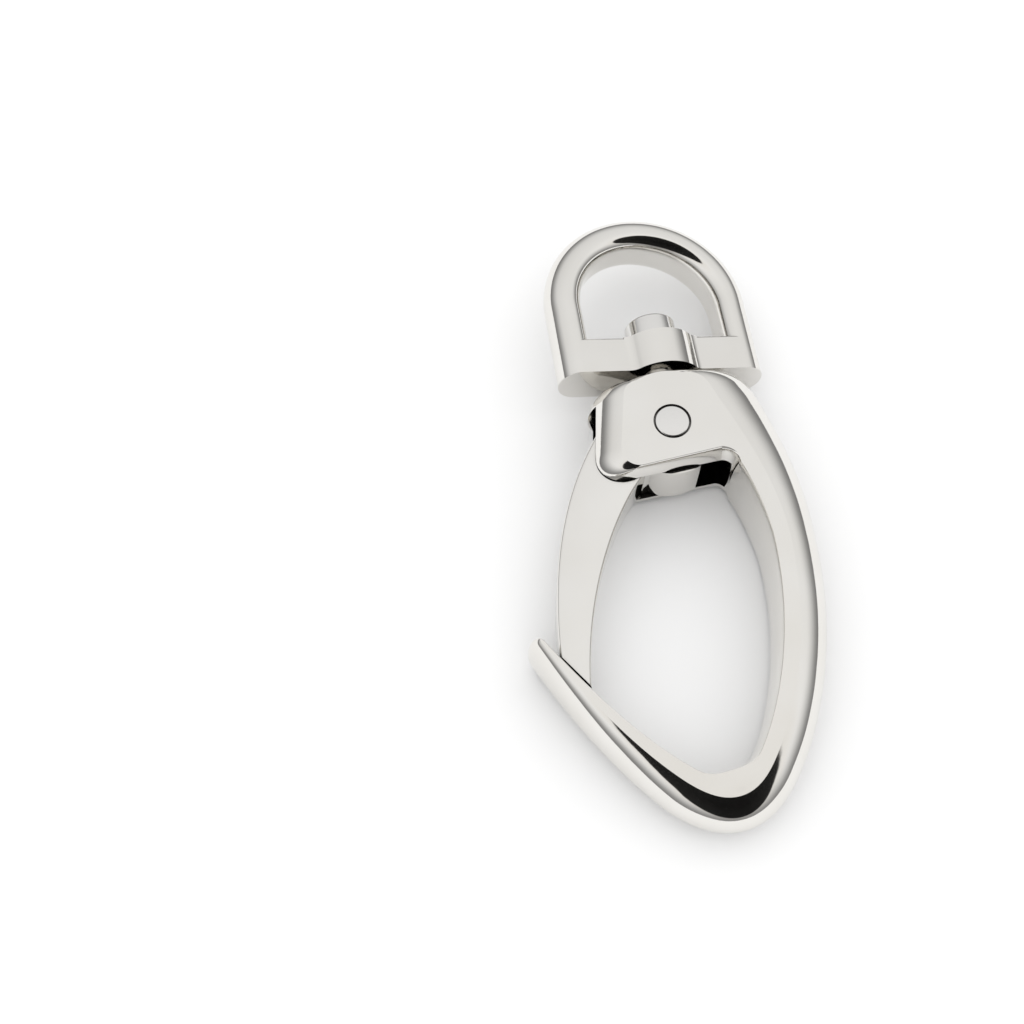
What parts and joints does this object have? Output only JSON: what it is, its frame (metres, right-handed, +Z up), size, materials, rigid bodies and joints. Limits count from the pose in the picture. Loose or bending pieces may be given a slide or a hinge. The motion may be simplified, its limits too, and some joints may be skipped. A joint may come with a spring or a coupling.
{
  "type": "swivel snap hook",
  "caption": "Polished swivel snap hook: a wedge-shaped cast hook with a sprung gate and a turning D eye for a narrow strap.",
  "frame": {"origin": "on the back face of the body, under the swivel axis at the slot's end wall", "axes": "+Y along the hook towards the eye, +Z up off the surface that the hook lies on, +X towards the closed back bar"},
  "size_m": [0.0265, 0.0595, 0.0084],
  "materials": {
    "cast_nickel": "polished nickel plate on a zinc casting",
    "pin_nickel": "nickel-plated steel, slightly duller than the castings",
    "spring_wire": "drawn steel wire"
  },
  "bodies": {
    "hook": {"hook_body": "cast_nickel", "gate_rivet": "pin_nickel", "gate_spring": "spring_wire", "swivel_post": "pin_nickel"},
    "gate": {"gate": "cast_nickel"},
    "eye": {"swivel_eye": "cast_nickel"}
  },
  "joints": [
    {"name": "gate_hinge", "type": "hinge", "parent": "hook", "child": "gate", "pos_m": [-0.0006, -0.0033, 0.004], "axis": [0, -0.044, 0.999], "range_deg": [0, 34], "stiffness_Nm_per_rad": 0.06, "springref_deg": -34.38, "deforming": ["gate_spring"]},
    {"name": "eye_swivel", "type": "hinge", "parent": "hook", "child": "eye", "pos_m": [0, 0, 0.00414], "axis": [0, 0.999, 0.044], "continuous": true}
  ]
}
